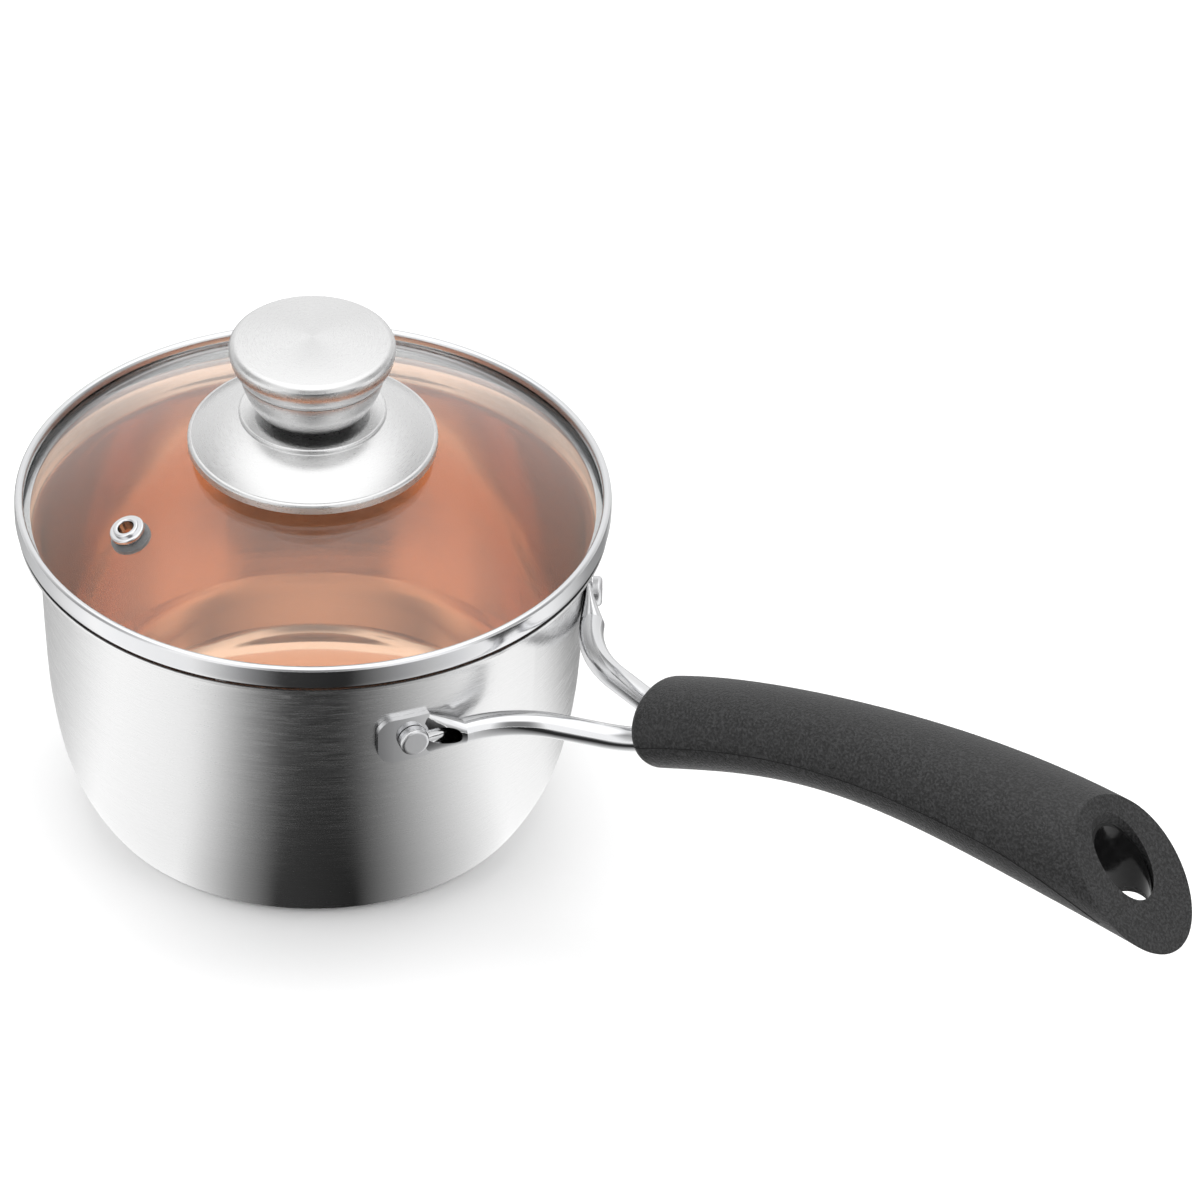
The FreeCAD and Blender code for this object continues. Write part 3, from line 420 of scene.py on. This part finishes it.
bright_steel = polished_steel("bright_steel", tone=0.80, rough_low=0.06, rough_high=0.12,
                              wave_depth=0.15)
rivet_steel = polished_steel("rivet_steel", tone=0.80, rough_low=0.30, rough_high=0.42,
                             wave_depth=0.3)
band_steel = polished_steel("band_steel", tone=0.80, rough_low=0.12, rough_high=0.18,
                            wave_depth=0.1)
plain_steel = polished_steel("plain_steel", tone=0.66, rough_low=0.30, rough_high=0.42,
                             wave_depth=0.3)
for node in ("arm_left", "arm_right", "vent_eyelet"):
    dress(node, bright_steel)
for node in ("rivet_left", "rivet_right"):
    dress(node, rivet_steel)
for node in ("tie_bar", "under_washer", "lid_screw", "knob_insert"):
    dress(node, plain_steel)


# ------------------------------------------------------------------ lid band
# The band is one rolled steel channel, polished after rolling. It is spun here in many fine
# steps from the same outline as the solid one, so its crest carries an unbroken highlight.
BAND_STEPS, ELBOW_STEPS, CREST_STEPS, CURL_STEPS = 320, 8, 24, 12
BAND_RADIUS, BAND_LOW, BAND_TOP, BAND_WALL = 0.0880, 0.0974, 0.1054, 0.0006
BAND_CREST, BAND_HEM, BAND_LAND = 0.0013, 0.00245, 0.0055
ELBOW_OUTER = (0.0021, 0.00365)
ELBOW_INNER = (0.0019, 0.00305)
crest_x, crest_z = BAND_RADIUS - BAND_CREST, BAND_TOP - BAND_CREST


def elbow(radius, low, size, steps):
    """A quarter ellipse from the band's flat land up to its wall."""
    points = []
    for step in steps:
        quarter = step / ELBOW_STEPS * math.pi / 2
        points.append((radius - size[0] * (1 - math.sin(quarter)),
                       low + size[1] * (1 - math.cos(quarter))))
    return points


def crest(radius, steps, count):
    """A half circle over the band's top, from its outer side to its inner side."""
    angles = [math.pi * step / count for step in steps]
    return [(crest_x + radius * math.cos(angle), crest_z + radius * math.sin(angle))
            for angle in angles]


outline = [(BAND_RADIUS - BAND_LAND, BAND_LOW), (BAND_RADIUS - ELBOW_OUTER[0], BAND_LOW)]
outline += elbow(BAND_RADIUS, BAND_LOW, ELBOW_OUTER, range(1, ELBOW_STEPS + 1))
outline += crest(BAND_CREST, range(CREST_STEPS + 1), CREST_STEPS)
outline.append((crest_x - BAND_CREST, BAND_TOP - BAND_HEM))
hem_edge = len(outline) - 1
outline.append((crest_x - BAND_CREST + BAND_WALL, BAND_TOP - BAND_HEM))
outline += crest(BAND_CREST - BAND_WALL, range(CURL_STEPS, -1, -1), CURL_STEPS)
outline += elbow(BAND_RADIUS - BAND_WALL, BAND_LOW + BAND_WALL, ELBOW_INNER,
                 range(ELBOW_STEPS, -1, -1))
outline.append((BAND_RADIUS - BAND_LAND, BAND_LOW + BAND_WALL))
verts, faces = [], []
count = len(outline)
for turn in range(BAND_STEPS):
    angle = 2 * math.pi * turn / BAND_STEPS
    verts += [(reach * math.cos(angle), reach * math.sin(angle), z) for reach, z in outline]
    here, there = turn * count, (turn + 1) % BAND_STEPS * count
    for index in range(count):
        after = (index + 1) % count
        faces.append((here + index, there + index, there + after, here + after))
band = mesh_object("lid_band_fine", verts, faces)
for edge in band.data.edges:
    one, two = (index % count for index in edge.vertices)
    edge.use_edge_sharp = one == two and one in (0, hem_edge, hem_edge + 1, count - 1)
band.data.materials.append(band_steel)
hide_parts("lid_band")
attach(band, "lid")


# ------------------------------------------------------------------ grip
# Soft touch covers over a rigid core. The covers are moulded against a spark eroded tool, so
# they are matte with a fine pebble; the core shows only in the hanging hole and is glossy.
def pebble():
    """Fine moulded pebble: a height from 0 to 1."""
    group = bpy.data.node_groups.new("moulded_pebble", "ShaderNodeTree")
    socket = group.interface.new_socket("Size", in_out="INPUT", socket_type="NodeSocketFloat")
    socket.default_value = 2200.0
    group.interface.new_socket("Pebble", in_out="OUTPUT", socket_type="NodeSocketFloat")
    inside = add_node(group, "NodeGroupInput")
    outside = add_node(group, "NodeGroupOutput")
    spot = add_node(group, "ShaderNodeTexCoord")
    bumps = add_node(group, "ShaderNodeTexNoise", Detail=2.0, Roughness=0.6)
    group.links.new(spot.outputs["Object"], bumps.inputs["Vector"])
    group.links.new(inside.outputs["Size"], bumps.inputs["Scale"])
    group.links.new(bumps.outputs["Fac"], outside.inputs["Pebble"])
    return group


pebble_group = pebble()


def moulding(name, low, high, rough_low, rough_high, size, depth):
    """A moulding with a pebbled bump, and tone and roughness that follow the pebble; on the soft
    black covers the light flecks in the tone are painted glints of the pebble.
    """
    material, tree, shader = new_material(name)
    paint(shader, Specular_IOR_Level=0.5)
    skin = add_node(tree, "ShaderNodeGroup")
    skin.node_tree = pebble_group
    skin.inputs["Size"].default_value = size
    rough = add_node(tree, "ShaderNodeMapRange", From_Min=0.3, From_Max=0.7, To_Min=rough_low,
                     To_Max=rough_high)
    tint = add_node(tree, "ShaderNodeMix", data_type="RGBA")
    tint.inputs["A"].default_value = (low, low, low * 1.03, 1)
    tint.inputs["B"].default_value = (high, high, high * 1.03, 1)
    relief = add_node(tree, "ShaderNodeBump", Strength=depth, Distance=0.00045)
    pebble_tone_and_glint = add_node(tree, "ShaderNodeMapRange", From_Min=0.42, From_Max=0.68)
    link = tree.links.new
    link(skin.outputs["Pebble"], rough.inputs["Value"])
    link(skin.outputs["Pebble"], pebble_tone_and_glint.inputs["Value"])
    link(pebble_tone_and_glint.outputs["Result"], tint.inputs["Factor"])
    link(skin.outputs["Pebble"], relief.inputs["Height"])
    link(tint.outputs["Result"], shader.inputs["Base Color"])
    link(rough.outputs["Result"], shader.inputs["Roughness"])
    link(relief.outputs["Normal"], shader.inputs["Normal"])
    return material


# The light flecks in this colour are painted glints, standing in for light caught on the pebble.
soft_black = moulding("soft_touch_black", low=0.005, high=0.034, rough_low=0.34,
                      rough_high=0.62, size=1250, depth=1.0)
gloss_black = moulding("gloss_black", low=0.006, high=0.010, rough_low=0.10, rough_high=0.18,
                       size=400, depth=0.05)
for node in ("grip_cover_upper", "grip_cover_lower"):
    dress(node, soft_black)
for node in ("grip_core", "knob_neck", "knob_spacer"):
    dress(node, gloss_black)


# ------------------------------------------------------------------ parting line
# Where the two soft covers meet, the mould leaves a fine seam along each side of the grip, which
# shows as a dark line of shade. It is drawn as a thin near black bead on the meeting edge of the
# upper cover, from the mouth to near the end face: painted shade of the seam.
LINE_RADIUS = 0.00016
LINE_END = 0.296
MERGE_DISTANCE = 1e-6
FACES_DOWN, NOT_ACROSS, FACES_OUT = -0.6, 0.02, 0.3


def seam_points(mesh):
    """The upper cover's lower outer edge on both sides, as points and the lines between."""
    shape = bmesh.new()
    shape.from_mesh(mesh)
    bmesh.ops.remove_doubles(shape, verts=shape.verts, dist=MERGE_DISTANCE)
    kept = []
    for edge in shape.edges:
        if len(edge.link_faces) != 2 or max(vert.co.x for vert in edge.verts) > LINE_END:
            continue
        one, two = sorted((face.normal for face in edge.link_faces), key=lambda way: way.z)
        outward = abs(two.y) > FACES_OUT and two.y * edge.verts[0].co.y > 0
        if one.z < FACES_DOWN and abs(one.y) < NOT_ACROSS and outward:
            kept.append(edge)
    points = sorted({vert for edge in kept for vert in edge.verts}, key=lambda vert: vert.index)
    number = {vert: index for index, vert in enumerate(points)}
    lines = [tuple(number[vert] for vert in edge.verts) for edge in kept]
    places = [tuple(vert.co) for vert in points]
    shape.free()
    return places, lines


def bead_tree(material):
    """Nodes that turn a run of edges into a fine round bead."""
    group = bpy.data.node_groups.new("bead_along_edges", "GeometryNodeTree")
    group.interface.new_socket("Geometry", in_out="INPUT", socket_type="NodeSocketGeometry")
    socket = group.interface.new_socket("Radius", in_out="INPUT", socket_type="NodeSocketFloat")
    socket.default_value = LINE_RADIUS
    group.interface.new_socket("Geometry", in_out="OUTPUT", socket_type="NodeSocketGeometry")
    inside = add_node(group, "NodeGroupInput")
    outside = add_node(group, "NodeGroupOutput")
    path = add_node(group, "GeometryNodeMeshToCurve")
    profile = add_node(group, "GeometryNodeCurvePrimitiveCircle", Resolution=8)
    bead = add_node(group, "GeometryNodeCurveToMesh")
    real = add_node(group, "GeometryNodeRealizeInstances")
    colour = add_node(group, "GeometryNodeSetMaterial")
    colour.inputs["Material"].default_value = material
    group.links.new(inside.outputs["Geometry"], path.inputs["Mesh"])
    group.links.new(inside.outputs["Radius"], profile.inputs["Radius"])
    group.links.new(path.outputs["Curve"], bead.inputs["Curve"])
    group.links.new(profile.outputs["Curve"], bead.inputs["Profile Curve"])
    group.links.new(bead.outputs["Mesh"], real.inputs["Geometry"])
    group.links.new(real.outputs["Geometry"], colour.inputs["Geometry"])
    group.links.new(colour.outputs["Geometry"], outside.inputs["Geometry"])
    return group


def baked(thing):
    """Swap an object's mesh for what its modifiers make of it, and drop them."""
    graph = bpy.context.evaluated_depsgraph_get()
    mesh = bpy.data.meshes.new_from_object(thing.evaluated_get(graph))
    thing.modifiers.clear()
    thing.data = mesh
    return thing


# Near black: painted shade of the seam between the covers.
painted_seam_shade = moulding("painted_seam_shade", low=0.002, high=0.004, rough_low=0.7, rough_high=0.9,
                        size=900, depth=0.1)
places, lines = seam_points(nodes["grip_cover_upper"].data)
seam_mesh = bpy.data.meshes.new("parting_line")
seam_mesh.from_pydata(places, lines, [])
parting_line = bpy.data.objects.new("parting_line", seam_mesh)
bpy.context.collection.objects.link(parting_line)
maker = parting_line.modifiers.new("bead", "NODES")
maker.node_group = bead_tree(painted_seam_shade)
baked(parting_line)
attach(parting_line, "pan")


# ------------------------------------------------------------------ lid glass
# Clear toughened glass, faintly green through its edge. Lamps' rays pass straight through, so
# the copper below is lit as it is through a real lid.
def clear_glass():
    """Glass that lets shadow rays through, with a faint tint and wave."""
    material, tree, shader = new_material("lid_clear_glass")
    paint(shader, Roughness=0.0, IOR=1.5, Transmission_Weight=1.0)
    marks = add_node(tree, "ShaderNodeGroup")
    marks.node_tree = scuff_group
    marks.inputs["Wave size"].default_value = 25
    tint = add_node(tree, "ShaderNodeMix", data_type="RGBA")
    tint.inputs["A"].default_value = (0.97, 0.985, 0.98, 1)
    tint.inputs["B"].default_value = (0.985, 0.99, 0.988, 1)
    swell = add_node(tree, "ShaderNodeBump", Strength=0.03, Distance=0.0002)
    passing = add_node(tree, "ShaderNodeBsdfTransparent")
    path = add_node(tree, "ShaderNodeLightPath")
    mixed = add_node(tree, "ShaderNodeMixShader")
    out = tree.nodes["Material Output"]
    link = tree.links.new
    link(marks.outputs["Wave"], tint.inputs["Factor"])
    link(marks.outputs["Wave"], swell.inputs["Height"])
    link(tint.outputs["Result"], shader.inputs["Base Color"])
    link(swell.outputs["Normal"], shader.inputs["Normal"])
    link(path.outputs["Is Shadow Ray"], mixed.inputs[0])
    link(shader.outputs[0], mixed.inputs[1])
    link(passing.outputs[0], mixed.inputs[2])
    link(mixed.outputs[0], out.inputs["Surface"])
    return material


dress("lid_glass", clear_glass())


# ------------------------------------------------------------------ knob and gaskets
# The skirt and the two halves of the hollow knob are spun and brushed round their axis. The
# gaskets between metal and glass are grey silicone.
knob_steel = brushed_steel("knob_brushed_steel", tone=0.80, rough_low=0.24, rough_high=0.36,
                           lines=1900, streaks=9, sheen=0.7, depth=0.12)
for node in ("knob_cap", "knob_cup", "knob_flange"):
    dress(node, knob_steel)

silicone = moulding("grey_silicone", low=0.20, high=0.26, rough_low=0.35, rough_high=0.5,
                    size=700, depth=0.1)
for node in ("top_gasket", "under_gasket", "vent_washer"):
    dress(node, silicone)
